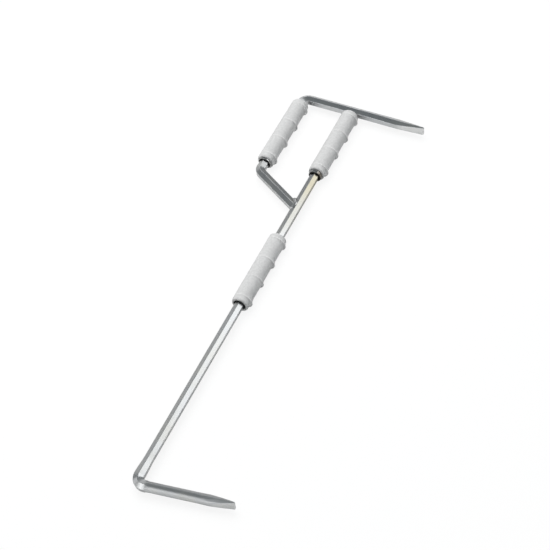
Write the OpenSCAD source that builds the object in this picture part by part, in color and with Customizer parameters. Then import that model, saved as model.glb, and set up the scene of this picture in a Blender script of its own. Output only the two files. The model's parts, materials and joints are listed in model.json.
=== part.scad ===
// Manhole cover lifter: a hexagonal bar tool with a chisel foot, a looped head with a second chisel, and
// three turning hand grips.
// It lies flat: +X towards the chisels, +Y from the foot to the head, +Z up off the floor.

/* [Bar stock] */
// Hexagonal bar of the shaft, across its flats
shaft_af = 13; // [11:0.5:15]
// Hexagonal bar of the looped head, across its flats
loop_af = 14; // [11:0.5:16]
// Forged foot, across its flats
foot_af = 14.5; // [13:0.5:18]
// Inside radius of every bend
bend_inner_r = 5; // [3:0.5:8]

/* [Main bar] */
// Height of the tool between the axes of the foot's corner and the crossbar
tool_h = 752; // [700:1:900]
// Length of the foot from its corner to its blade
foot_len = 142; // [110:1:180]
// Angle between the foot and the shaft
foot_angle = 81.5; // [75:0.5:90]
// Length over which the shaft swells to the forged foot
swell_len = 30; // [15:1:60]
// Length of the chisel on the foot
foot_wedge = 36; // [20:1:60]
// Thickness of the blade on the foot
foot_blade_t = 2.5; // [1.5:0.5:5]

/* [Looped head] */
// Length of the crossbar from the shaft's axis to its blade
cross_len = 122; // [90:1:160]
// Length of the chisel on the crossbar
cross_wedge = 45; // [20:1:60]
// Thickness of the blade on the crossbar
cross_blade_t = 3; // [1.5:0.5:5]
// Distance between the axes of the shaft and the side handle
handle_gap = 85; // [70:1:110]
// How far the strut falls on its way to the shaft
strut_drop = 50; // [20:1:80]
// How far short of the shaft's axis the strut ends
strut_short = 3; // [1:0.5:5]

/* [Welds and stops] */
// Leg of the weld between the shaft and the crossbar
head_weld_leg = 1; // [1:0.5:4]
// Leg of the weld between the strut and the shaft
strut_weld_leg = 3; // [1.5:0.5:4]
// Reach of the strut weld along the strut
strut_weld_reach = 8; // [5:0.5:12]
// Half width of each weld tack that stops a grip from sliding
tack_half_w = 3; // [2:0.5:4]
// Thickness of a weld at its thin edge
weld_toe = 0.4; // [0.2:0.1:0.8]
// How far each tack stands above the bore of the bush that it stops
tack_overlap = 0.6; // [0.4:0.1:0.7]

/* [Grips] */
// Length of each grip
grip_len = 137; // [110:1:160]
// Wall of each grip around its tube
grip_wall = 3; // [2:0.25:5]
// Thickness of the closed top of each grip
grip_top_t = 4; // [2:0.5:8]
// Rounding of the closed top
dome_r = 4.5; // [4:0.5:10]
// Bevel at the mouth of each grip
mouth_bevel = 2; // [0.5:0.25:2]
// Number of finger ridges on each grip
ridge_n = 4; // [2:1:4]
// Distance from the mouth to the first ridge
ridge_first = 10; // [9:0.5:12]
// Distance from the last ridge to the closed top
ridge_last = 10; // [9:0.5:12]
// Length of the slope of a ridge, on the side of the closed top
ridge_slope = 7.5; // [5:0.5:8.5]
// Length of the steep side of a ridge, towards the mouth
ridge_step = 1.5; // [1:0.25:3]
// How far a ridge stands out on the finger side
ridge_proud = 3.2; // [2:0.1:4]

/* [Tubes and bushes] */
// Running gap between the corners of the bar and a bush
run_gap = 0.4; // [0.3:0.05:0.8]
// Wall of each bush on the larger bar
bush_wall = 1; // [1:0.1:2]
// Length of each bush inside its tube
bush_len = 10; // [6:0.5:20]
// How far the mouth bush stands out of its tube
bush_out = 0.5; // [0.5:0.5:4]
// Wall of each tube
tube_wall = 1; // [1:0.1:2.5]
// Gap between pieces that are pushed together
seat_gap = 0.05; // [0.02:0.01:0.1]
// Gap between a turning piece and what stops it from sliding
stop_gap = 0.5; // [0.3:0.1:1]

/* [Grip places] */
// How far the left tube shows below its grip
left_tube_out = 2.5; // [2:0.5:6]
// How far the right tube shows below its grip
right_tube_out = 5.5; // [2:0.5:15]
// How far the lower tube shows below its grip
lower_tube_out = 2; // [1:0.5:15]
// Top of the left grip below the start of the crossbar's bend
left_grip_drop = 2; // [1:0.5:5]
// Gap between the left mouth bush and the strut's bend
left_bend_gap = 11.1; // [1:0.1:20]
// Top of the lower grip below the strut's end on the shaft
lower_grip_drop = 64.5; // [25:0.5:200]

/* [Hidden] */
$fn = 96;
zinc = [0.76, 0.77, 0.79];
weld_zinc = [0.66, 0.67, 0.70];
grip_grey = [0.83, 0.83, 0.83];
bush_black = [0.08, 0.08, 0.08];

// Small overshoot for cuts
cut = 1;

// A bend stands this far out all round its bar, and each straight bar runs this far into the next piece
bend_swell = 0.05;
seam = 0.1;

// Foot bend
foot_rise = 90 - foot_angle;
foot_turn = 90 + foot_rise;
foot_bend_r = bend_inner_r + foot_af / 2;
foot_tangent = foot_bend_r * tan(foot_turn / 2);

// Head bends and strut
loop_bend_r = bend_inner_r + loop_af / 2;
strut_slope = atan(strut_drop / handle_gap);
strut_turn = 90 - strut_slope;
strut_tangent = loop_bend_r * tan(strut_turn / 2);
strut_len = norm([handle_gap, strut_drop]);
left_handle_len = left_grip_drop + grip_len + left_tube_out + bush_out + left_bend_gap;
handle_len = loop_bend_r + left_handle_len + strut_tangent;
strut_corner_y = tool_h - handle_len;
side_low_y = strut_corner_y + strut_tangent;

// Radii from the bar outwards: bar corner, bush bore, tube, grip, ridge
function corner_r(af) = af / sqrt(3);
function bush_bore_r(af) = corner_r(af) + run_gap;
tube_bore_r = bush_bore_r(max(shaft_af, loop_af)) + bush_wall;
tube_r = tube_bore_r + tube_wall;
grip_r = tube_r + seat_gap + grip_wall;
ridge_sink = 1.6;
ridge_r = grip_r + (ridge_proud - ridge_sink) / 2;
ridge_shift = (ridge_proud + ridge_sink) / 2;
ridge_crest_w = 0.8;
ridge_pitch = (grip_len - ridge_first - ridge_last) / (ridge_n - 1);

// Rounded profiles are drawn in this many straight steps
arc_steps = 6;
function unit(angle) = [cos(angle), sin(angle)];

// Heights inside a grip, from its mouth
tube_top = grip_len - grip_top_t - seat_gap;
top_bush_low = tube_top - bush_len;

// Heights of the mouths of the three grips
cross_under_y = tool_h - loop_af / 2;
left_grip_y = tool_h - loop_bend_r - left_grip_drop - grip_len;
right_grip_y = cross_under_y - head_weld_leg - stop_gap - grip_len;
lower_grip_y = strut_corner_y - strut_drop - lower_grip_drop - grip_len;

// The origin lies under the middle of the tool, on the floor
x_low = -handle_gap - grip_r;
x_high = max(cross_len, foot_len * cos(foot_rise) + foot_blade_t / 2 * sin(foot_rise));
y_low = foot_tangent - foot_bend_r - foot_af / 2 - bend_swell;
y_high = tool_h + loop_af / 2;
origin_shift = [-(x_low + x_high) / 2, -(y_low + y_high) / 2, ridge_r];

// Straight hexagonal bar along +X, with a corner up and flats to the sides
module hex_along_x(af, len) {
    rotate([0, 90, 0]) cylinder(r = corner_r(af), h = len, $fn = 6);
}

// Straight hexagonal bar along +Y, with a corner up and flats to the sides
module hex_along_y(af, len) {
    rotate([-90, 0, 0]) rotate([0, 0, 30]) cylinder(r = corner_r(af), h = len, $fn = 6);
}

// Hexagonal bar along +Y that tapers from one size to another
module hex_taper_y(af_low, af_high, len) {
    intersection_for (turn = [0, 60, 120]) {
        rotate([0, turn, 0])
            linear_extrude(height = 2 * af_low, center = true)
                polygon([[-af_low / 2, 0], [af_low / 2, 0], [af_high / 2, len], [-af_high / 2, len]]);
    }
}

// Bend of a hexagonal bar about the Z axis, from +X round to the given angle
module hex_bend(af, angle) {
    rotate_extrude(angle = angle)
        translate([bend_inner_r + af / 2, 0])
            rotate(30) circle(r = corner_r(af + 2 * bend_swell), $fn = 6);
}

// Hexagonal bar along +X that ends in a chisel with its blade upright
module chisel_along_x(af, len, wedge, blade_t) {
    slope = (af - blade_t) / 2 / wedge;
    wide_x = len - (af - blade_t / 2) / slope;
    intersection() {
        hex_along_x(af, len);
        linear_extrude(height = 2 * af, center = true)
            polygon([[-cut, -af], [wide_x, -af], [len, -blade_t / 2],
                     [len, blade_t / 2], [wide_x, af], [-cut, af]]);
    }
}

// Straight solids of the shaft and the crossbar, which the neighbouring pieces are cut to fit
module shaft_solid() {
    translate([0, foot_tangent + swell_len - seam, 0])
        hex_along_y(shaft_af, tool_h - foot_tangent - swell_len + seam);
}

module cross_solid() {
    translate([-handle_gap + loop_bend_r - seam, tool_h, 0])
        chisel_along_x(loop_af, handle_gap - loop_bend_r + cross_len + seam, cross_wedge, cross_blade_t);
}

module strut_solid() {
    translate([-handle_gap, strut_corner_y, 0])
        rotate([0, 0, -strut_slope])
            translate([strut_tangent - seam, 0, 0])
                hex_along_x(loop_af, strut_len - strut_tangent - strut_short + seam);
}

// Shaft with its bent chisel foot, coped at the top to fit under the crossbar
module main_bar() {
    color(zinc) difference() {
        union() {
            shaft_solid();
            translate([0, foot_tangent - seam, 0])
                hex_taper_y(foot_af, shaft_af + 2 * bend_swell, swell_len + seam);
            translate([foot_bend_r, foot_tangent, 0]) rotate([0, 0, 180]) hex_bend(foot_af, foot_turn);
            rotate([0, 0, foot_rise])
                translate([foot_tangent - seam, 0, 0])
                    chisel_along_x(foot_af, foot_len - foot_tangent + seam, foot_wedge, foot_blade_t);
        }
        cross_solid();
    }
}

// Crossbar, side handle and strut, one bent bar, coped at its end to fit the shaft
module loop_bar() {
    color(zinc) difference() {
        union() {
            cross_solid();
            translate([-handle_gap + loop_bend_r, tool_h - loop_bend_r, 0])
                rotate([0, 0, 90]) hex_bend(loop_af, 90);
            translate([-handle_gap, side_low_y - seam, 0])
                hex_along_y(loop_af, tool_h - loop_bend_r - side_low_y + 2 * seam);
            translate([-handle_gap + loop_bend_r, side_low_y, 0])
                rotate([0, 0, 180]) hex_bend(loop_af, strut_turn);
            strut_solid();
        }
        translate([0, strut_corner_y - handle_gap - strut_drop, 0])
            hex_along_y(shaft_af, handle_gap + strut_drop);
    }
}

// Fillet weld round the top of the shaft, under the crossbar
module head_weld() {
    color(weld_zinc) difference() {
        translate([0, cross_under_y - head_weld_leg, 0])
            rotate([-90, 0, 0])
                cylinder(r1 = corner_r(shaft_af) + weld_toe, r2 = corner_r(shaft_af) + 2 * head_weld_leg,
                         h = 2 * head_weld_leg);
        shaft_solid();
        cross_solid();
    }
}

// Fillet weld round the end of the strut, against the shaft
module strut_weld() {
    weld_low = strut_len - corner_r(shaft_af) - strut_weld_reach;
    color(weld_zinc) difference() {
        intersection() {
            translate([-handle_gap, strut_corner_y, 0])
                rotate([0, 0, -strut_slope])
                    translate([weld_low, 0, 0])
                        rotate([0, 90, 0])
                            cylinder(r1 = corner_r(loop_af) + weld_toe,
                                     r2 = corner_r(loop_af) + strut_weld_leg,
                                     h = strut_weld_reach + corner_r(shaft_af));
            translate([-handle_gap - shaft_af / 2, 0, -handle_gap / 2])
                cube([handle_gap, tool_h, handle_gap]);
        }
        shaft_solid();
        strut_solid();
    }
}

// Puts a handle piece, modelled along +Z from the mouth of its grip, on its bar
module on_bar(x, mouth_y) {
    translate([x, mouth_y, 0]) rotate([-90, 0, 0]) children();
}

module on_left() {
    on_bar(-handle_gap, left_grip_y) children();
}

module on_right() {
    on_bar(0, right_grip_y) children();
}

module on_lower() {
    on_bar(0, lower_grip_y) children();
}

// Round body of a grip: bevelled mouth, straight wall, rounded top
module grip_round() {
    dome = [for (i = [0 : arc_steps])
            [grip_r - dome_r, grip_len - dome_r] + dome_r * unit(90 * i / arc_steps)];
    rotate_extrude()
        polygon(concat([[0, 0], [grip_r - mouth_bevel, 0], [grip_r, mouth_bevel]], dome, [[0, grip_len]]));
}

// One finger ridge with its crest at the height 0: a ring set off to the finger side, so that it sinks
// into the smooth back
module ridge() {
    skin_r = ridge_r - ridge_proud;
    root_r = skin_r - cut;
    translate([ridge_shift, 0, 0])
        rotate_extrude()
            polygon([[root_r, -ridge_step], [skin_r, -ridge_step], [ridge_r, 0], [ridge_r, ridge_crest_w],
                     [skin_r, ridge_slope], [root_r, ridge_slope]]);
}

module grip(af) {
    color(grip_grey) difference() {
        union() {
            grip_round();
            for (i = [0 : ridge_n - 1]) {
                translate([0, 0, ridge_first + i * ridge_pitch]) ridge();
            }
        }
        translate([0, 0, -cut]) cylinder(r = tube_r + seat_gap, h = grip_len - grip_top_t + cut);
        translate([0, 0, -cut]) cylinder(r = bush_bore_r(af), h = grip_len + 2 * cut);
    }
}

module tube(tube_out) {
    color(zinc) difference() {
        translate([0, 0, -tube_out]) cylinder(r = tube_r, h = tube_top + tube_out);
        translate([0, 0, -tube_out - cut]) cylinder(r = tube_bore_r, h = tube_top + tube_out + 2 * cut);
    }
}

module bush(af, low, high) {
    color(bush_black) difference() {
        translate([0, 0, low]) cylinder(r = tube_bore_r - seat_gap, h = high - low);
        translate([0, 0, low - cut]) cylinder(r = bush_bore_r(af), h = high - low + 2 * cut);
    }
}

module mouth_bush(af, tube_out) {
    bush(af, -tube_out - bush_out, -tube_out + bush_len);
}

module top_bush(af) {
    bush(af, top_bush_low, tube_top);
}

// Weld tacks on both side flats of the bar, next to the inner end of each bush
module stops(af, tube_out) {
    tack_h = bush_bore_r(af) + tack_overlap - af / 2;
    tack_r = (pow(tack_half_w, 2) + pow(tack_h, 2)) / (2 * tack_h);
    low_z = -tube_out + bush_len + stop_gap + tack_half_w;
    high_z = top_bush_low - stop_gap - tack_half_w;
    color(weld_zinc)
        for (side = [0, 180], z = [low_z, high_z]) {
            rotate([0, 0, side])
                translate([af / 2, 0, z])
                    intersection() {
                        translate([tack_h - tack_r, 0, 0]) sphere(r = tack_r);
                        translate([0, -tack_r, -tack_r]) cube(2 * tack_r);
                    }
        }
}

translate(origin_shift) {
    main_bar();
    loop_bar();
    head_weld();
    strut_weld();
    on_left() grip(loop_af);  // grip_left
    on_right() grip(shaft_af);  // grip_right
    on_lower() grip(shaft_af);  // grip_lower
    on_left() tube(left_tube_out);  // tube_left
    on_right() tube(right_tube_out);  // tube_right
    on_lower() tube(lower_tube_out);  // tube_lower
    on_left() mouth_bush(loop_af, left_tube_out);  // mouth_bush_left
    on_right() mouth_bush(shaft_af, right_tube_out);  // mouth_bush_right
    on_lower() mouth_bush(shaft_af, lower_tube_out);  // mouth_bush_lower
    on_left() top_bush(loop_af);  // top_bush_left
    on_right() top_bush(shaft_af);  // top_bush_right
    on_lower() top_bush(shaft_af);  // top_bush_lower
    on_left() stops(loop_af, left_tube_out);  // stops_left
    on_right() stops(shaft_af, right_tube_out);  // stops_right
    on_lower() stops(shaft_af, lower_tube_out);  // stops_lower
}
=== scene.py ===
import json
import math

import bmesh
import bpy
from mathutils import Matrix, Quaternion, Vector, noise


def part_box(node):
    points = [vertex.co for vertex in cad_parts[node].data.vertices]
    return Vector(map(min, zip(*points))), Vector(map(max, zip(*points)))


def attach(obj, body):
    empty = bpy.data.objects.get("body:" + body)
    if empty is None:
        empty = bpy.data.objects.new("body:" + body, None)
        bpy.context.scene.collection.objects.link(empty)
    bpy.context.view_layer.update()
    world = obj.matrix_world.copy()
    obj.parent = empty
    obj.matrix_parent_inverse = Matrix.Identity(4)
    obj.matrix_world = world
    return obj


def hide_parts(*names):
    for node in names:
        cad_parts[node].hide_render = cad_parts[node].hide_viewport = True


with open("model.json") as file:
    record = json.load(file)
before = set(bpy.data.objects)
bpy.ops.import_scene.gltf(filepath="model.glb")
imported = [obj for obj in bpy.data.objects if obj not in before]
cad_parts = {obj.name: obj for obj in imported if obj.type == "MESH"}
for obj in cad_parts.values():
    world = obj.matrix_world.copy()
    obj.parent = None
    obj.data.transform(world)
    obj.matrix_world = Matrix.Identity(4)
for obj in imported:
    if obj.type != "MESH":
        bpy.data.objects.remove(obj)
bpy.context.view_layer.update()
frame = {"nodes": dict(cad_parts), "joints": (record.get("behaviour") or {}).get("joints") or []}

MM = 0.001
UP = Vector((0, 0, 1))

# Bar stock: sizes across flats, rounding of the edges, and roll about the bar's own axis
SHAFT_AF = 13 * MM
LOOP_AF = 14 * MM
FOOT_AF = 15 * MM
BEND_INNER = 5 * MM
DRAWN_EDGE = 1.0 * MM
FORGED_EDGE = 6.9 * MM
EDGE_SHARE = 0.48
SHAFT_ROLL = math.radians(4)
LOOP_ROLL = math.radians(4.5)
BEND_ROLL = math.radians(-10)

# Main bar
TOOL_H = 752 * MM
FOOT_LEN = 142 * MM
FOOT_RISE = math.radians(8.5)
FOOT_WEDGE = 36 * MM
FOOT_BLADE = 2.5 * MM
BEND_LEAD = 6 * MM
SWELL_LEN = 30 * MM
# Share of the shaft's edges rubbed bright, as wear and a painted highlight along them
SHAFT_RUB_HIGHLIGHT = 0.35

# Where the foot is forged round, as a share of its wedge, and its bend pressed flat, as shares of the bend
FORGED_FROM = 0.35
BEND_EASE = 0.25
PRESSED_TO = 0.8
PRESS_EASE = 1 / 3

# Looped head
CROSS_LEN = 122 * MM
CROSS_WEDGE = 45 * MM
CROSS_BLADE = 3 * MM
STRUT_DROP = 50 * MM
STRUT_SHORT = 3 * MM
LEFT_BEND_GAP = 11.1 * MM

# Blades: rounding of the tip's corners, and share of the wedge over which the bright grinding runs out
TIP_ROUND = 2.5 * MM
GROUND_EASE = 0.2

# Weld beads: radii, lumps, height of each bead's line as a share of the shaft's, and its fullness
HEAD_BEAD = 0.9 * MM
STRUT_BEAD = 2.3 * MM
CROTCH_BEAD = 1.9 * MM
LUMP = 0.3
LUMP_SIZE = 2.6 * MM
HEAD_WELD_HIGH = 0.65
STRUT_WELD_HIGH = 0.92
STRUT_WELD_SQUARE = 1.6
CROTCH_SPREAD = 1.2

# Grips
RIDGE_N = 4
RIDGE_FIRST = 10 * MM
RIDGE_LAST = 10 * MM
RIDGE_SLOPE = 7.5 * MM
RIDGE_STEP = 2.2 * MM
RIDGE_PROUD = 2.4 * MM
RIDGE_FADE = 4.5
FINGER_TURN = math.radians(-18)
LIP_TURN = math.radians(15)
LIP_HIGH = 0.8 * MM
LIP_RISE = 3 * MM
LIP_FALL = 1.5 * MM
MOUTH_LONG = 3.6 * MM
MOUTH_DEEP = 2.6 * MM
MOUTH_EDGE = 1.4 * MM
DOME_ROUND = 4.5 * MM
DOME_EDGE = 2 * MM
GRIP_TOP = 4 * MM
GRIP_WALL = 3 * MM

# Tubes and bushes
TUBE_WALL = 1 * MM
TUBE_RIM = 0.35 * MM
RUN_GAP = 0.4 * MM

# Lower handle: a longer eased mouth, with its tube and bush drawn in
LOWER_MOUTH_LONG = 6 * MM
LOWER_TUBE_IN = 1.9 * MM
LOWER_BUSH_IN = 4.6 * MM

# Steps that round stretches are drawn in, and heights at which a grip's skin is drawn
CORNER_STEPS = 4
RIM_STEPS = 4
EASE_STEPS = 8
HANDLE_TURNS = 96
BEAD_TURNS = 16
BEAD_STEPS = 60
FLOOR_TURNS = 64
SHARP_ANGLE = math.radians(40)
NEAR_CREST = [t * MM for t in (-2.2, -1.8, -1.5, -1.2, -0.9, -0.6, -0.3, 0, 0.3, 0.6, 1, 1.5, 2, 2.6)]
PLAIN_STEP = 2 * MM
CLOSE_STEP = 0.3 * MM

# Painted warm tint on the upper shaft, and painted darker warm shade near its top, on the faces towards the
# blade side, which tint and dim the reflection there, and painted dark brown shade on the right tube:
# heights along the tool, distance from the shaft, how far a surface faces the blade side, and places across
# the right tube
PAINTED_TINT_FROM = 85 * MM
PAINTED_TINT_FULL = 130 * MM
PAINTED_SHADE_FROM = 152 * MM
PAINTED_SHADE_FULL = 205 * MM
SHAFT_NEAR = 16 * MM
FACING_FROM = 0.1
FACING_FULL = 0.4
TUBE_PAINTED_SHADE_FROM = 1 * MM
TUBE_PAINTED_SHADE_FULL = 7 * MM

# Floor: how white it is to the light, to the metal that mirrors it, and to the camera
FLOOR_WHITE = 0.85
FLOOR_MIRRORED = 0.62
FLOOR_MIRRORED_GLOW = 0.12
FLOOR_SEEN = 0.14
FLOOR_SEEN_GLOW = 0.87

# Reach and height of the floor's rings, in metres: flat, then rising into a wall
FLOOR_RINGS = [(12, 0), (24, 0), (27, 0.5), (29, 1.8), (30, 4), (30, 15)]

# Camera and surroundings
CAMERA_PLACE = Vector((0.73743, -1.28526, 1.84011))
CAMERA_TARGET = Vector((0.00402, 0.02191, 0.01466))
CAMERA_ROLL = math.radians(-5.98)
SENSOR = 36
FOCAL_PIXELS = 1600
PHOTO_PIXELS = 550
STUDIO_GREY = (0.205, 0.22, 0.227)

# Places read from the frame
turning = {joint["name"]: Vector(joint["pos_m"]) for joint in frame["joints"]}
shaft_x = turning["right_grip_turn"].x
side_x = turning["left_grip_turn"].x
bar_z = turning["right_grip_turn"].z
cross_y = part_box("loop_bar")[1].y - LOOP_AF / 2
foot_y = cross_y - TOOL_H
side_low_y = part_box("mouth_bush_left")[0].y - LEFT_BEND_GAP
handle_gap = shaft_x - side_x

# Bends of the looped head
loop_radius = BEND_INNER + LOOP_AF / 2
strut_slope = math.atan2(STRUT_DROP, handle_gap)
strut_turn = math.pi / 2 - strut_slope
strut_tangent = loop_radius * math.tan(strut_turn / 2)
strut_low_y = side_low_y - strut_tangent - STRUT_DROP


def smooth(t):
    """Eased step from 0 to 1."""
    t = max(0.0, min(1.0, t))
    return t * t * (3 - 2 * t)


def mix(a, b, t):
    """Value from a to b as t goes from 0 to 1."""
    return a + (b - a) * t


def full_turn(steps):
    """Even angles once round."""
    return [2 * math.pi * k / steps for k in range(steps)]


def quarter_turn(steps):
    """Even angles from 0 to a right angle."""
    return [math.pi / 2 * k / steps for k in range(steps + 1)]


def corner_reach(af):
    """Distance from the axis of a hexagonal bar to its corners."""
    return af / math.sqrt(3)


def half_width(af, z):
    """Half width of a hexagonal bar, corners up and down, at the height z from its axis."""
    return min(af / 2, max(0.0, (corner_reach(af) - abs(z)) * math.sqrt(3)))


# Meshes from rings of points

def rounded(corners, radius):
    """Outline with every corner turned into an arc, which takes at most EDGE_SHARE of each side."""
    points = []
    for i, corner in enumerate(corners):
        here = Vector(corner)
        back = Vector(corners[i - 1]) - here
        ahead = Vector(corners[(i + 1) % len(corners)]) - here
        half_turn = (math.pi - back.angle(ahead)) / 2
        reach = min(radius * math.tan(half_turn), EDGE_SHARE * back.length, EDGE_SHARE * ahead.length)
        bow = reach / math.tan(half_turn)
        middle = here + (back.normalized() + ahead.normalized()).normalized() * math.hypot(reach, bow)
        spoke = here + back.normalized() * reach - middle
        for k in range(CORNER_STEPS + 1):
            points.append(middle + Matrix.Rotation(2 * half_turn * k / CORNER_STEPS, 2) @ spoke)
    return points


def girth_walk(ring):
    """Distance round a ring to each of its points, and once round."""
    steps = [(ring[(j + 1) % len(ring)] - ring[j]).length for j in range(len(ring))]
    return [sum(steps[:j]) for j in range(len(ring) + 1)]


def ring_mesh(name, rings, spans, looped=False, **marks):
    """Closed mesh through rings of points, with its surface unrolled in metres as UV.
    Each mark is a number for every point, kept under its name for the finish."""
    count = len(rings[0])
    verts = [p for ring in rings for p in ring]
    walks = [girth_walk(ring) for ring in rings]
    last = len(rings) if looped else len(rings) - 1
    faces = []
    unrolled = []
    for i in range(last):
        after = (i + 1) % len(rings)
        here, there = walks[i], walks[after]
        for j in range(count):
            k = (j + 1) % count
            faces.append((i * count + j, i * count + k, after * count + k, after * count + j))
            unrolled += [(spans[i], here[j]), (spans[i], here[j + 1])]
            unrolled += [(spans[i + 1], there[j + 1]), (spans[i + 1], there[j])]
    if not looped:
        for start in (0, (len(rings) - 1) * count):
            faces.append(tuple(range(start, start + count)))
            unrolled += [(verts[start + j].x, verts[start + j].z) for j in range(count)]
    mesh = bpy.data.meshes.new(name)
    mesh.from_pydata(verts, [], faces)
    layer = mesh.uv_layers.new(name="unrolled")
    for corner, place in zip(layer.data, unrolled):
        corner.uv = place
    for label, numbers in marks.items():
        mesh.attributes.new(label, "FLOAT", "POINT").data.foreach_set("value", numbers)
    shell = bmesh.new()
    shell.from_mesh(mesh)
    bmesh.ops.recalc_face_normals(shell, faces=shell.faces)
    shell.to_mesh(mesh)
    shell.free()
    mesh.shade_smooth()
    mesh.set_sharp_from_angle(angle=SHARP_ANGLE)
    piece = bpy.data.objects.new(name, mesh)
    bpy.context.scene.collection.objects.link(piece)
    return piece


# Bent bars

class BarPath:
    """Stations along a flat bent bar: place, heading and distance from the start."""

    def __init__(self, x, y, heading):
        self.place = Vector((x, y, bar_z))
        self.heading = heading
        self.s = 0.0
        self.stations = []
        self.mark()

    def mark(self):
        self.stations.append((self.place.copy(), self.heading, self.s))

    def ahead(self):
        return Vector((math.cos(self.heading), math.sin(self.heading), 0))

    def run(self, length, steps):
        for _ in range(steps):
            self.place += self.ahead() * length / steps
            self.s += length / steps
            self.mark()

    def bend(self, turn, radius, steps):
        side = math.copysign(1, turn)
        for _ in range(steps):
            middle = self.place + UP.cross(self.ahead()) * side * radius
            spin = Matrix.Rotation(turn / steps, 3, "Z")
            self.place = middle + spin @ (self.place - middle)
            self.heading += turn / steps
            self.s += abs(turn) * radius / steps
            self.mark()


def bar_outline(af, half, edge, cap, roll):
    """Rounded section of a bar: corners up and down, sides cut back to half, height kept under cap.
    The whole section is then rolled, with its top towards the right of the way ahead."""
    high = corner_reach(af)
    side_high = high - half * high / af
    corners = [(half, -side_high), (half, side_high), (0, high),
               (-half, side_high), (-half, -side_high), (0, -high)]
    points = [Vector((p.x, max(-cap, min(cap, p.y)))) for p in rounded(corners, edge)]
    return [Matrix.Rotation(-roll, 2) @ p for p in points]


def tip_cap(af, s):
    """Height of a blade near its tip, where its corners are rounded off."""
    short = max(0.0, TIP_ROUND - s)
    return corner_reach(af) - TIP_ROUND + math.sqrt(TIP_ROUND ** 2 - short ** 2)


def sweep(name, path, wedge, section, trim):
    """Bar along a path, cut at its far end by trim, with the two sides of its wedge ground bright.
    The section at each distance is an outline, how much its edges are rubbed bright, as wear and a painted
    highlight along the edges, and how far it is forged round."""
    # Share round each corner's arc that is rubbed bright, as wear and a painted highlight along the edge
    corner_wear_highlight = [1 - abs(2 * k / CORNER_STEPS - 1) for k in range(CORNER_STEPS + 1)]
    # 1 at both ends of each flat side, which joins the first two corners of its half of the section
    plain = [0.0] * CORNER_STEPS
    on_side = (plain + [1.0, 1.0] + plain + plain + [0.0]) * 2
    rings = []
    edge = []
    forged = []
    ground = []
    for place, heading, s in path.stations:
        ahead = Vector((math.cos(heading), math.sin(heading), 0))
        across = ahead.cross(UP)
        outline, rubbed_highlight, rounded_off = section(s)
        rings.append([place + across * u + UP * z for u, z in outline])
        edge += [rubbed_highlight * wear_highlight for wear_highlight in corner_wear_highlight] * (len(outline) // len(corner_wear_highlight))
        forged += [rounded_off] * len(outline)
        ground += [smooth((1 - s / wedge) / GROUND_EASE) * share for share in on_side]
    rings[-1] = [trim(p, path.ahead()) for p in rings[-1]]
    spans = [s for _, _, s in path.stations]
    bar = ring_mesh(name, rings, spans, edge=edge, forged=forged, ground=ground)
    bar.modifiers.new("flat_sides", "WEIGHTED_NORMAL").keep_sharp = True
    return bar


def blade_runs(path, wedge):
    """Close stations round the rounded tip, then even ones along the wedge."""
    path.run(TIP_ROUND, steps=5)
    path.run(wedge - TIP_ROUND, steps=8)


def make_main_bar():
    """Foot with its blade, tight bend, and the long shaft up to the crossbar."""
    radius = BEND_INNER + FOOT_AF / 2
    turn = math.pi / 2 + FOOT_RISE
    tangent = radius * math.tan(turn / 2)
    bend_from = FOOT_LEN - tangent
    bend_long = radius * turn

    def section(s):
        af = mix(FOOT_AF, SHAFT_AF, smooth((s - bend_from - bend_long) / SWELL_LEN))
        half = min(af / 2, mix(FOOT_BLADE / 2, af / 2, s / FOOT_WEDGE))
        round_bend = (s - bend_from) / bend_long
        forged = smooth(s / FOOT_WEDGE - FORGED_FROM) * smooth(-round_bend / BEND_EASE)
        pressed = smooth(1 + round_bend / BEND_EASE) * smooth((PRESSED_TO - round_bend) / PRESS_EASE)
        roll = mix(SHAFT_ROLL * smooth(s / FOOT_WEDGE - 1), BEND_ROLL, pressed)
        edge = mix(DRAWN_EDGE, FORGED_EDGE, forged)
        # Edges rubbed bright, as wear and a painted highlight along them, none on the forged foot
        rubbed_highlight = SHAFT_RUB_HIGHLIGHT * (1 - forged) * smooth(s / FOOT_WEDGE)
        return bar_outline(af, half, edge, tip_cap(af, s), roll), rubbed_highlight, forged

    def under_cross(p, ahead):
        return Vector((p.x, cross_y - LOOP_AF / 2, p.z))

    tip = Vector((shaft_x, foot_y)) + FOOT_LEN * Vector((math.cos(FOOT_RISE), math.sin(FOOT_RISE)))
    path = BarPath(tip.x, tip.y, math.pi + FOOT_RISE)
    blade_runs(path, FOOT_WEDGE)
    path.run(bend_from - FOOT_WEDGE - BEND_LEAD, steps=6)
    path.run(BEND_LEAD, steps=6)
    path.bend(-turn, radius, steps=20)
    path.run(SWELL_LEN, steps=8)
    path.run(TOOL_H - tangent - SWELL_LEN, steps=12)
    return sweep("main_bar_drawn", path, FOOT_WEDGE, section, under_cross)


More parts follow.
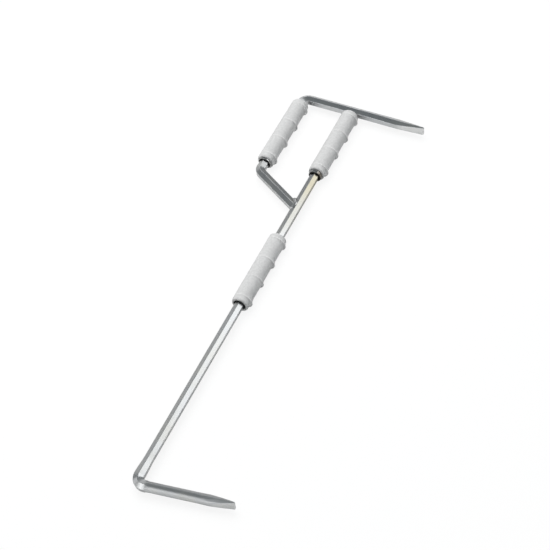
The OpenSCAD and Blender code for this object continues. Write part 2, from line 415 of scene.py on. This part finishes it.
def make_loop_bar():
    """Crossbar with its blade, bend, side handle, second bend, and the strut back to the shaft."""
    strut_len = math.hypot(handle_gap, STRUT_DROP)

    def section(s):
        half = min(LOOP_AF / 2, mix(CROSS_BLADE / 2, LOOP_AF / 2, s / CROSS_WEDGE))
        roll = LOOP_ROLL * smooth(s / CROSS_WEDGE - 1)
        outline = bar_outline(LOOP_AF, half, DRAWN_EDGE, tip_cap(LOOP_AF, s), roll)
        # Edges rubbed bright past the blade, as wear and a painted highlight along them
        return outline, smooth(s / CROSS_WEDGE), 0

    def against_shaft(p, ahead):
        inset = max(half_width(SHAFT_AF, p.z - bar_z), STRUT_SHORT * math.cos(strut_slope))
        return p + ahead * (shaft_x - inset - p.x) / ahead.x

    path = BarPath(shaft_x + CROSS_LEN, cross_y, math.pi)
    blade_runs(path, CROSS_WEDGE)
    path.run(CROSS_LEN - CROSS_WEDGE + handle_gap - loop_radius, steps=8)
    path.bend(math.pi / 2, loop_radius, steps=16)
    path.run(cross_y - loop_radius - side_low_y, steps=6)
    path.bend(strut_turn, loop_radius, steps=16)
    path.run(strut_len - strut_tangent - STRUT_SHORT, steps=4)
    return sweep("loop_bar_drawn", path, CROSS_WEDGE, section, against_shaft)


# Weld beads

def turned_alike(rings):
    """The same rings, each started at the point that lies nearest to the start of the one before."""
    alike = [rings[0]]
    for ring in rings[1:]:
        start = min(range(len(ring)), key=lambda k: (ring[k] - alike[-1][0]).length)
        alike.append(ring[start:] + ring[:start])
    return alike


def bead(name, line, radius_at):
    """Lumpy closed bead along a closed line of points; radius_at(i) is its radius there."""
    rings = []
    spans = [0.0]
    for i, here in enumerate(line):
        ahead = (line[(i + 1) % len(line)] - line[i - 1]).normalized()
        out = ahead.orthogonal().normalized()
        rise = ahead.cross(out)
        ring = []
        for angle in full_turn(BEAD_TURNS):
            spoke = out * math.cos(angle) + rise * math.sin(angle)
            lump = 1 + LUMP * noise.noise((here + spoke * MM) / LUMP_SIZE)
            ring.append(here + spoke * radius_at(i) * lump)
        rings.append(ring)
        spans.append(spans[-1] + (line[(i + 1) % len(line)] - here).length)
    return ring_mesh(name, turned_alike(rings), spans, looped=True)


def make_head_weld():
    """Bead round the top of the shaft, under the crossbar."""
    line = []
    for angle in full_turn(BEAD_STEPS):
        z = HEAD_WELD_HIGH * corner_reach(SHAFT_AF) * math.sin(angle)
        x = math.copysign(half_width(SHAFT_AF, z), math.cos(angle))
        line.append(Vector((shaft_x + x, cross_y - LOOP_AF / 2, bar_z + z)))
    return bead("head_weld_bead", line, lambda i: HEAD_BEAD)


def make_strut_weld():
    """Bead round the end of the strut, against the shaft, fuller in the narrow crotch above."""
    ahead = Vector((math.cos(strut_slope), -math.sin(strut_slope), 0))
    across = ahead.cross(UP)
    joint = Vector((shaft_x, strut_low_y, bar_z))
    line = []
    fuller = []
    for angle in full_turn(BEAD_STEPS):
        z = STRUT_WELD_HIGH * corner_reach(SHAFT_AF) * math.sin(angle)
        u = half_width(LOOP_AF, z) * max(-1, min(1, STRUT_WELD_SQUARE * math.cos(angle)))
        start = joint + across * u + UP * z
        line.append(start + ahead * (shaft_x - half_width(SHAFT_AF, z) - start.x) / ahead.x)
        fuller.append(smooth(-CROTCH_SPREAD * math.cos(angle)))
    return bead("strut_weld_bead", line, lambda i: STRUT_BEAD + CROTCH_BEAD * fuller[i])


# Handles

def lathe_ring(x, y, radius_at):
    """Ring round a handle's axis at the height y, with its radius given for each angle from +X."""
    ring = []
    for a in full_turn(HANDLE_TURNS):
        ring.append(Vector((x + radius_at(a) * math.cos(a), y, bar_z + radius_at(a) * math.sin(a))))
    return ring


def make_sleeve(name, node, x, bore, drawn_in):
    """Tube or bush in the place of its node, with a rounded rim at its mouth, which is drawn in a little."""
    low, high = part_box(node)
    low.y += drawn_in
    outer = (high.x - low.x) / 2
    rim = TUBE_RIM
    profile = []
    for a in quarter_turn(RIM_STEPS):
        profile.append((low.y + rim - rim * math.sin(a), outer - rim + rim * math.cos(a)))
    for a in quarter_turn(RIM_STEPS):
        profile.append((low.y + rim - rim * math.cos(a), bore + rim - rim * math.sin(a)))
    profile += [(high.y, bore), (high.y, outer)]
    rings = []
    spans = [0.0]
    for i, (y, radius) in enumerate(profile):
        rings.append(lathe_ring(x, y, lambda a: radius))
        ahead = profile[(i + 1) % len(profile)]
        spans.append(spans[-1] + math.hypot(ahead[0] - y, ahead[1] - radius))
    return ring_mesh(name, rings, spans, looped=True)


def ridge_swell(t):
    """Share of a ridge's height at the distance t from its crest, positive towards the closed top."""
    if t >= 0:
        return max(0.0, 1 - t / RIDGE_SLOPE)
    return smooth(1 + t / RIDGE_STEP)


def lip_swell(t):
    """Share of the lip's height: a slow rise from above, a quick fall below the crest."""
    if t >= 0:
        return smooth(1 - t / LIP_RISE)
    return smooth(1 + t / LIP_FALL)


def finger_side(angle, turn):
    """1 where the fingers close, at the angle turn, running out to 0 on the smooth back."""
    return (1 + math.cos(angle - turn)) / 2


def grip_heights(length, crests, mouth_long):
    """Heights above its mouth at which a grip's skin is drawn, close together at its ends and crests."""
    mouth = [mouth_long * (1 - math.cos(a)) for a in quarter_turn(EASE_STEPS)]
    dome = [length - DOME_ROUND + DOME_ROUND * math.sin(a) for a in quarter_turn(EASE_STEPS)]
    close = [crest + t for crest in crests for t in NEAR_CREST]
    plain_count = int((length - mouth_long - DOME_ROUND) / PLAIN_STEP)
    plain = [mouth_long + PLAIN_STEP * k for k in range(1, plain_count)]
    plain = [y for y in plain if min(abs(y - c) for c in close) > CLOSE_STEP]
    return mouth + sorted(close + plain) + dome


def make_grip(name, node, x, bore, mouth_long):
    """Moulded grip: an eased mouth, a round body with finger ridges, and a domed top round its bar."""
    low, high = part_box(node)
    length = high.y - low.y
    body = x - low.x
    pitch = (length - RIDGE_FIRST - RIDGE_LAST) / (RIDGE_N - 1)
    crests = [RIDGE_FIRST + i * pitch for i in range(RIDGE_N)]

    def wall(y, angle):
        """Radius of the round body: eased at the mouth, most at the back, and domed at the top."""
        fingers = finger_side(angle, FINGER_TURN)
        long = mix(mouth_long, MOUTH_EDGE, fingers)
        deep = mix(MOUTH_DEEP, MOUTH_EDGE, fingers)
        crown = mix(DOME_ROUND, DOME_EDGE, fingers)
        into_mouth = max(0.0, 1 - y / long)
        into_dome = max(0.0, (y - length) / crown + 1)
        mouth = deep * (1 - math.sqrt(1 - into_mouth ** 2))
        dome = crown * (1 - math.sqrt(max(0.0, 1 - into_dome ** 2)))
        return body - mouth - dome

    def lip(y):
        return max(lip_swell(y - c) for c in crests)

    def skin(y, angle):
        swell = max(ridge_swell(y - c) for c in crests) * RIDGE_PROUD
        crest_lip = lip(y) * LIP_HIGH * finger_side(angle, LIP_TURN)
        return wall(y, angle) + swell * finger_side(angle, FINGER_TURN) ** RIDGE_FADE + crest_lip

    outside = grip_heights(length, crests, mouth_long)
    rings = [lathe_ring(x, low.y + y, lambda a: skin(y, a)) for y in outside]
    tube_seat = body - GRIP_WALL
    inside = [(length, bore), (length - GRIP_TOP, bore), (length - GRIP_TOP, tube_seat), (0, tube_seat)]
    rings += [lathe_ring(x, low.y + y, lambda a: radius) for y, radius in inside]
    spans = [0.0]
    for i in range(len(rings)):
        spans.append(spans[-1] + (rings[(i + 1) % len(rings)][0] - rings[i][0]).length)
    # Crests rubbed pale towards the fingers, as wear and a painted highlight along each crest
    rubbed_highlight = [finger_side(a, LIP_TURN) for a in full_turn(HANDLE_TURNS)]
    edge = [lip(y) ** 2 * share for y in outside for share in rubbed_highlight] + [0.0] * HANDLE_TURNS * len(inside)
    return ring_mesh(name, rings, spans, looped=True, edge=edge)


# Shader nodes

class Graph:
    """Short way to add and join nodes in a tree."""

    def __init__(self, tree):
        self.tree = tree

    def add(self, kind, **settings):
        node = self.tree.nodes.new(kind)
        for key, value in settings.items():
            setattr(node, key, value)
        return node

    def join(self, source, target):
        self.tree.links.new(source, target)

    def feed(self, given, target):
        """Joins a socket to the target, or sets the target to a colour or a number."""
        if isinstance(given, bpy.types.NodeSocket):
            self.join(given, target)
        elif isinstance(given, tuple):
            target.default_value = (*given, 1)
        else:
            target.default_value = given

    def place(self):
        """Place on the piece as it lies at rest."""
        return self.add("ShaderNodeTexCoord").outputs["Object"]

    def split(self, source):
        """Sockets X, Y and Z of a place or a direction."""
        node = self.add("ShaderNodeSeparateXYZ")
        self.join(source, node.inputs[0])
        return node.outputs

    def mark(self, name):
        """Number kept on the mesh under this name."""
        return self.add("ShaderNodeAttribute", attribute_name=name).outputs["Fac"]

    def value(self, operation, a, b):
        """Math node; each side is a number or a socket."""
        node = self.add("ShaderNodeMath", operation=operation)
        for given, socket in zip((a, b), node.inputs):
            self.feed(given, socket)
        return node.outputs[0]

    def spread(self, source, low, high):
        """Value from 0 to 1 spread over low to high."""
        node = self.add("ShaderNodeMapRange")
        self.join(source, node.inputs["Value"])
        node.inputs["To Min"].default_value = low
        node.inputs["To Max"].default_value = high
        return node.outputs["Result"]

    def step(self, source, start, full):
        """Value easing from 0 at start to 1 at full; each is a number or a socket."""
        node = self.add("ShaderNodeMapRange", interpolation_type="SMOOTHSTEP")
        self.join(source, node.inputs["Value"])
        self.feed(start, node.inputs["From Min"])
        self.feed(full, node.inputs["From Max"])
        return node.outputs["Result"]

    def band(self, source, middle, half):
        """1 round the middle of a value, easing out to 0 at half on both sides."""
        away = self.value("ABSOLUTE", self.value("SUBTRACT", source, middle), 0)
        return self.step(away, half, half / 2)

    def tint(self, mask, first, second):
        """Colour that goes from first to second with the mask; each is a colour or a socket."""
        node = self.add("ShaderNodeMix", data_type="RGBA")
        self.join(mask, node.inputs["Factor"])
        sides = [socket for socket in node.inputs if socket.type == "RGBA"]
        for given, socket in zip((first, second), sides):
            self.feed(given, socket)
        return next(socket for socket in node.outputs if socket.type == "RGBA")

    def bump(self, height, strength, distance):
        """Normal raised by a height."""
        node = self.add("ShaderNodeBump")
        node.inputs["Strength"].default_value = strength
        node.inputs["Distance"].default_value = distance
        self.join(height, node.inputs["Height"])
        return node.outputs["Normal"]


def new_group(name, inputs, outputs):
    """Empty shader group with number inputs, their defaults, and number outputs."""
    tree = bpy.data.node_groups.new(name, "ShaderNodeTree")
    for label, default in inputs.items():
        socket = tree.interface.new_socket(label, in_out="INPUT", socket_type="NodeSocketFloat")
        socket.default_value = default
    for label in outputs:
        tree.interface.new_socket(label, in_out="OUTPUT", socket_type="NodeSocketFloat")
    graph = Graph(tree)
    return graph, graph.add("NodeGroupInput").outputs, graph.add("NodeGroupOutput").inputs


def drawn_lines_group():
    """Fine lines along a bar, from its unrolled surface."""
    graph, given, out = new_group("drawn_lines", {"Across": 1400, "Along": 14}, ["Lines"])
    unrolled = graph.split(graph.add("ShaderNodeUVMap", uv_map="unrolled").outputs["UV"])
    place = graph.add("ShaderNodeCombineXYZ")
    graph.join(graph.value("MULTIPLY", unrolled["X"], given["Along"]), place.inputs["X"])
    graph.join(graph.value("MULTIPLY", unrolled["Y"], given["Across"]), place.inputs["Y"])
    lines = graph.add("ShaderNodeTexNoise")
    lines.inputs["Scale"].default_value = 1
    lines.inputs["Detail"].default_value = 3
    graph.join(place.outputs[0], lines.inputs["Vector"])
    graph.join(lines.outputs["Fac"], out["Lines"])
    return graph.tree


def clouds_group():
    """Soft patches over a surface, as a mask."""
    graph, given, out = new_group("clouds", {"Scale": 30, "Low": 0.38, "High": 0.62}, ["Mask"])
    drift = graph.add("ShaderNodeTexNoise")
    drift.inputs["Detail"].default_value = 4
    graph.join(graph.place(), drift.inputs["Vector"])
    graph.join(given["Scale"], drift.inputs["Scale"])
    graph.join(graph.step(drift.outputs["Fac"], given["Low"], given["High"]), out["Mask"])
    return graph.tree


def speckle_group():
    """Fine moulded or cast grain, as a height."""
    graph, given, out = new_group("speckle", {"Scale": 900}, ["Height"])
    cells = graph.add("ShaderNodeTexVoronoi", feature="SMOOTH_F1")
    fine = graph.add("ShaderNodeTexNoise")
    fine.inputs["Detail"].default_value = 3
    place = graph.place()
    for texture in (cells, fine):
        graph.join(place, texture.inputs["Vector"])
        graph.join(given["Scale"], texture.inputs["Scale"])
    total = graph.value("ADD", cells.outputs["Distance"], fine.outputs["Fac"])
    graph.join(graph.value("MULTIPLY", total, 0.5), out["Height"])
    return graph.tree


def edge_wear_highlight_group():
    """Where an edge is rubbed bright, as wear and a painted highlight along it, broken up by patches."""
    graph, given, out = new_group("edge_wear_highlight", {"Scale": 220, "Amount": 0.8}, ["Mask"])
    patches = graph.add("ShaderNodeTexNoise")
    graph.join(graph.place(), patches.inputs["Vector"])
    graph.join(given["Scale"], patches.inputs["Scale"])
    rubbed_highlight = graph.value("MULTIPLY", graph.mark("edge"), patches.outputs["Fac"])
    graph.join(graph.value("MULTIPLY", rubbed_highlight, given["Amount"]), out["Mask"])
    return graph.tree


def height_step_group():
    """Share from 0 to 1 by height along the tool, for the painted tint and the painted shade."""
    graph, given, out = new_group("height_step", {"From": PAINTED_SHADE_FROM, "Full": PAINTED_SHADE_FULL}, ["Mask"])
    graph.join(graph.step(graph.split(graph.place())["Y"], given["From"], given["Full"]), out["Mask"])
    return graph.tree


drawn_lines = drawn_lines_group()
clouds = clouds_group()
speckle = speckle_group()
edge_wear_highlight = edge_wear_highlight_group()
height_step = height_step_group()


def placed(graph, tree, **values):
    """Node group in a material, with its own values."""
    node = graph.add("ShaderNodeGroup", node_tree=tree)
    for label, number in values.items():
        node.inputs[label].default_value = number
    return node.outputs[0]


# Finishes

def new_material(name, metallic, specular=0.5):
    """Material with the plain values of its shader set, its graph and its shader's inputs."""
    material = bpy.data.materials.new(name)
    material.use_nodes = True
    graph = Graph(material.node_tree)
    shader = material.node_tree.nodes["Principled BSDF"].inputs
    shader["Metallic"].default_value = metallic
    shader["Specular IOR Level"].default_value = specular
    return material, graph, shader


def zinc_plate():
    """Satin zinc plate on drawn bar: faint lines, cool and warm patches, a painted warm tint and a painted
    darker yellow shade on the faces towards the blade side of the upper shaft, which tint and dim its
    reflection, blades ground bright, edges rubbed bright as wear and a painted highlight along them, and a
    duller forged foot."""
    cool, warm = (0.60, 0.61, 0.62), (0.66, 0.66, 0.64)
    # The first colour is a warm tint painted into the reflection, and the second is a darker warm shade
    # painted over it
    painted_tint, painted_shade = (0.555, 0.55, 0.515), (0.55, 0.515, 0.405)
    # The second colour is pale rubbed wear on the edges, which also serves as a painted highlight along them
    ground, rubbed_highlight = (0.84, 0.84, 0.83), (0.84, 0.85, 0.86)
    material, graph, shader = new_material("zinc_plate", 1.0)
    lines = placed(graph, drawn_lines, Across=1400, Along=14)
    patches = placed(graph, clouds, Scale=24, Low=0.36, High=0.66)
    worn_highlight = placed(graph, edge_wear_highlight, Scale=220, Amount=1.6)
    # Painted warm tint, and painted darker shade higher up, on the shaft's faces turned towards the blade
    # side, where they tint and dim the reflection
    on_shaft = graph.band(graph.split(graph.place())["X"], shaft_x, SHAFT_NEAR)
    facing = graph.split(graph.add("ShaderNodeNewGeometry").outputs["Normal"])
    blade_side = graph.value("MULTIPLY", on_shaft, graph.step(facing["X"], FACING_FROM, FACING_FULL))
    painted_tinted = graph.value("MULTIPLY", blade_side, placed(graph, height_step, From=PAINTED_TINT_FROM, Full=PAINTED_TINT_FULL))
    painted_shaded = graph.value("MULTIPLY", blade_side, placed(graph, height_step, From=PAINTED_SHADE_FROM, Full=PAINTED_SHADE_FULL))
    base = graph.tint(patches, cool, warm)
    base = graph.tint(painted_tinted, base, painted_tint)
    base = graph.tint(painted_shaded, base, painted_shade)
    base = graph.tint(graph.mark("ground"), base, ground)
    base = graph.tint(worn_highlight, base, rubbed_highlight)
    graph.join(base, shader["Base Color"])
    # Rubbed edges turn less metallic and show pale in the light, as part of the painted highlight
    graph.join(graph.spread(worn_highlight, 1.0, 0.3), shader["Metallic"])
    dull = graph.value("MULTIPLY", graph.spread(lines, 0.26, 0.34), graph.spread(patches, 0.92, 1.1))
    dull = graph.value("MULTIPLY", dull, graph.spread(graph.mark("forged"), 1.0, 1.45))
    graph.join(dull, shader["Roughness"])
    graph.join(graph.bump(lines, 0.06, 0.05 * MM), shader["Normal"])
    return material


def tube_zinc():
    """Bright zinc on the turned tubes, with a painted dark brown shade on the blade side of the upper shaft.
    """
    # The third colour is a painted dark brown shade
    dark, light, painted_shade = (0.43, 0.435, 0.44), (0.55, 0.55, 0.54), (0.21, 0.19, 0.165)
    material, graph, shader = new_material("tube_zinc", 1.0)
    patches = placed(graph, clouds, Scale=60, Low=0.35, High=0.65)
    grain = placed(graph, speckle, Scale=1600)
    across = graph.split(graph.place())["X"]
    # Painted dark brown shade on the tube's blade side, high up the shaft
    blade_side = graph.step(across, shaft_x + TUBE_PAINTED_SHADE_FROM, shaft_x + TUBE_PAINTED_SHADE_FULL)
    painted_shaded = graph.value("MULTIPLY", blade_side, placed(graph, height_step, From=PAINTED_SHADE_FROM, Full=PAINTED_SHADE_FULL))
    graph.join(graph.tint(painted_shaded, graph.tint(patches, dark, light), painted_shade), shader["Base Color"])
    graph.join(graph.spread(patches, 0.09, 0.16), shader["Roughness"])
    graph.join(graph.bump(grain, 0.06, 0.03 * MM), shader["Normal"])
    return material


def weld_zinc(name, dark, light):
    """Zinc over a rough weld bead, in patches of two tones."""
    material, graph, shader = new_material(name, 1.0)
    patches = placed(graph, clouds, Scale=160, Low=0.35, High=0.65)
    grain = placed(graph, speckle, Scale=900)
    graph.join(graph.tint(patches, dark, light), shader["Base Color"])
    graph.join(graph.spread(patches, 0.14, 0.28), shader["Roughness"])
    graph.join(graph.bump(grain, 0.2, 0.15 * MM), shader["Normal"])
    return material


def grip_plastic():
    """Light grey moulded grip with a mottled fine grain, and crests rubbed pale, as wear and a painted
    highlight along each crest.
    """
    dark, light = (0.685, 0.68, 0.675), (0.775, 0.77, 0.765)
    # The second colour is pale rubbed wear on the crests, which also serves as a painted highlight
    pitted, rubbed_highlight = (0.58, 0.578, 0.575), (0.92, 0.915, 0.91)
    material, graph, shader = new_material("grip_plastic", 0.0, specular=0.25)
    grain = placed(graph, speckle, Scale=700)
    mottle = placed(graph, clouds, Scale=300, Low=0.32, High=0.68)
    worn_highlight = placed(graph, edge_wear_highlight, Scale=220, Amount=1.6)
    base = graph.tint(mottle, dark, light)
    base = graph.tint(graph.spread(grain, 0.0, 0.4), base, pitted)
    base = graph.tint(worn_highlight, base, rubbed_highlight)
    graph.join(base, shader["Base Color"])
    graph.join(graph.spread(grain, 0.55, 0.7), shader["Roughness"])
    graph.join(graph.bump(grain, 0.3, 0.12 * MM), shader["Normal"])
    return material


def bush_plastic():
    """Matt black bush."""
    material, graph, shader = new_material("bush_plastic", 0.0, specular=0.3)
    grain = placed(graph, speckle, Scale=1200)
    graph.join(graph.tint(grain, (0.010, 0.010, 0.010), (0.028, 0.028, 0.028)), shader["Base Color"])
    graph.join(graph.spread(grain, 0.45, 0.6), shader["Roughness"])
    return material


zinc = zinc_plate()
tube_finish = tube_zinc()
weld_finish = weld_zinc("weld_zinc", (0.56, 0.56, 0.56), (0.76, 0.76, 0.76))
# Darker brown tone on the head weld bead
dark_weld_finish = weld_zinc("dark_weld", (0.16, 0.13, 0.11), (0.34, 0.31, 0.28))
grip_finish = grip_plastic()
bush_finish = bush_plastic()


# The tool put together

def dress(piece, body, slot, material, *nodes):
    """Puts a piece on its body, in the place of its CAD nodes, with its finish."""
    piece.data.materials.append(material)
    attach(piece, body)
    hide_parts(*nodes)


def dress_handle(side, af, mouth_long, tube_in, bush_in):
    """Grip, tube and mouth bush of one handle, and finishes for its hidden CAD nodes."""
    body = side + "_handle"
    x = turning[side + "_grip_turn"].x
    bush_bore = corner_reach(af) + RUN_GAP
    tube_low, tube_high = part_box("tube_" + side)
    tube_bore = (tube_high.x - tube_low.x) / 2 - TUBE_WALL
    grip = make_grip("grip_" + side + "_moulded", "grip_" + side, x, bush_bore, mouth_long)
    dress(grip, body, "grip_grey", grip_finish, "grip_" + side)
    tube = make_sleeve("tube_" + side + "_turned", "tube_" + side, x, tube_bore, tube_in)
    dress(tube, body, "tube_zinc", tube_finish, "tube_" + side)
    bush_node = "mouth_bush_" + side
    bush = make_sleeve(bush_node + "_turned", bush_node, x, bush_bore, bush_in)
    dress(bush, body, "bush_black", bush_finish, bush_node)
    for node, finish in (("top_bush_" + side, bush_finish), ("stops_" + side, weld_finish)):
        frame["nodes"][node].data.materials.clear()
        frame["nodes"][node].data.materials.append(finish)


dress(make_main_bar(), "frame", "zinc_steel", zinc, "main_bar")
dress(make_loop_bar(), "frame", "zinc_steel", zinc, "loop_bar")
dress(make_head_weld(), "frame", "zinc_weld", dark_weld_finish, "head_weld")
dress(make_strut_weld(), "frame", "zinc_weld", weld_finish, "strut_weld")
dress_handle("left", LOOP_AF, MOUTH_LONG, 0, 0)
dress_handle("right", SHAFT_AF, MOUTH_LONG, 0, 0)
dress_handle("lower", SHAFT_AF, LOWER_MOUTH_LONG, LOWER_TUBE_IN, LOWER_BUSH_IN)


# Floor, light and camera

def grey(level):
    return (level, level, level)


def white_floor():
    """Pale floor: it lights the object as a white surface, and shows as white with a faint shadow."""
    material = bpy.data.materials.new("white_floor")
    material.use_nodes = True
    material.node_tree.nodes.clear()
    graph = Graph(material.node_tree)
    path = graph.add("ShaderNodeLightPath").outputs
    seen = path["Is Camera Ray"]
    mirrored = graph.value("MAXIMUM", path["Is Glossy Ray"], path["Is Transmission Ray"])
    matt = graph.add("ShaderNodeBsdfDiffuse")
    shade = graph.tint(mirrored, grey(FLOOR_WHITE), grey(FLOOR_MIRRORED))
    graph.join(graph.tint(seen, shade, grey(FLOOR_SEEN)), matt.inputs["Color"])
    glow = graph.add("ShaderNodeEmission")
    seen_glow = graph.value("MULTIPLY", seen, FLOOR_SEEN_GLOW)
    mirrored_glow = graph.value("MULTIPLY", mirrored, FLOOR_MIRRORED_GLOW)
    graph.join(graph.value("MAXIMUM", seen_glow, mirrored_glow), glow.inputs["Strength"])
    both = graph.add("ShaderNodeAddShader")
    graph.join(matt.outputs[0], both.inputs[0])
    graph.join(glow.outputs[0], both.inputs[1])
    graph.join(both.outputs[0], graph.add("ShaderNodeOutputMaterial").inputs["Surface"])
    return material


def make_floor():
    """Round floor that rises into a plain wall far away on every side."""
    verts = []
    for reach, high in FLOOR_RINGS:
        verts += [(reach * math.cos(a), reach * math.sin(a), high) for a in full_turn(FLOOR_TURNS)]
    faces = [tuple(range(FLOOR_TURNS))]
    for start in range(0, len(verts) - FLOOR_TURNS, FLOOR_TURNS):
        for k in range(FLOOR_TURNS):
            low = start + k
            low_next = start + (k + 1) % FLOOR_TURNS
            faces.append((low_next, low, low + FLOOR_TURNS, low_next + FLOOR_TURNS))
    mesh = bpy.data.meshes.new("floor")
    mesh.from_pydata(verts, [], faces)
    mesh.shade_smooth()
    mesh.materials.append(white_floor())
    floor = bpy.data.objects.new("floor", mesh)
    bpy.context.scene.collection.objects.link(floor)


def soft_box(name, towards, distance, size, level, mirrored):
    """Square lamp that faces the tool; level is the brightness of its face. It either shows in the metal
    or lights the matt surfaces."""
    lamp = bpy.data.lights.new(name, "AREA")
    lamp.size = size
    lamp.energy = level * math.pi * size * size
    holder = bpy.data.objects.new(name, lamp)
    direction = Vector(towards).normalized()
    holder.location = direction * distance
    holder.rotation_euler = direction.to_track_quat("Z", "Y").to_euler()
    holder.visible_glossy = mirrored
    holder.visible_diffuse = not mirrored
    holder.visible_camera = False
    bpy.context.scene.collection.objects.link(holder)


def panel(name, towards, size, level, distance=3.0):
    """Lamp that shows in the metal alone."""
    soft_box(name, towards, distance, size, level, mirrored=True)


def make_world():
    world = bpy.data.worlds.new("studio")
    world.use_nodes = True
    shade = world.node_tree.nodes["Background"].inputs
    shade["Color"].default_value = (*STUDIO_GREY, 1)
    shade["Strength"].default_value = 1
    bpy.context.scene.world = world


def make_camera():
    lens = bpy.data.cameras.new("camera")
    lens.sensor_width = SENSOR
    lens.lens = SENSOR * FOCAL_PIXELS / PHOTO_PIXELS
    camera = bpy.data.objects.new("camera", lens)
    camera.location = CAMERA_PLACE
    aim = (CAMERA_TARGET - CAMERA_PLACE).to_track_quat("-Z", "Y")
    camera.rotation_mode = "QUATERNION"
    camera.rotation_quaternion = aim @ Quaternion((0, 0, 1), CAMERA_ROLL)
    bpy.context.scene.collection.objects.link(camera)
    bpy.context.scene.camera = camera


make_floor()
make_world()
soft_box("key", towards=(-0.25, 0.2, 0.9), distance=4.5, size=4.5, level=3.4, mirrored=False)
panel("right_panel", towards=(0.60, 0.56, 0.57), size=2.1, level=1.42)
panel("left_panel", towards=(-0.88, 0.40, 0.254), size=1.4, level=0.3, distance=2.75)
panel("bend_panel", towards=(-0.45, -0.74, 0.5), size=1.6, level=0.95)
panel("low_panel", towards=(-0.93, -0.33, 0.08), size=1.8, level=0.65)
panel("back_panel", towards=(-0.38, 0.80, 0.46), size=1.4, level=0.55)
panel("front_panel", towards=(-0.10, -0.93, 0.34), size=2.5, level=0.72)
make_camera()
bpy.context.scene.view_settings.view_transform = "Standard"
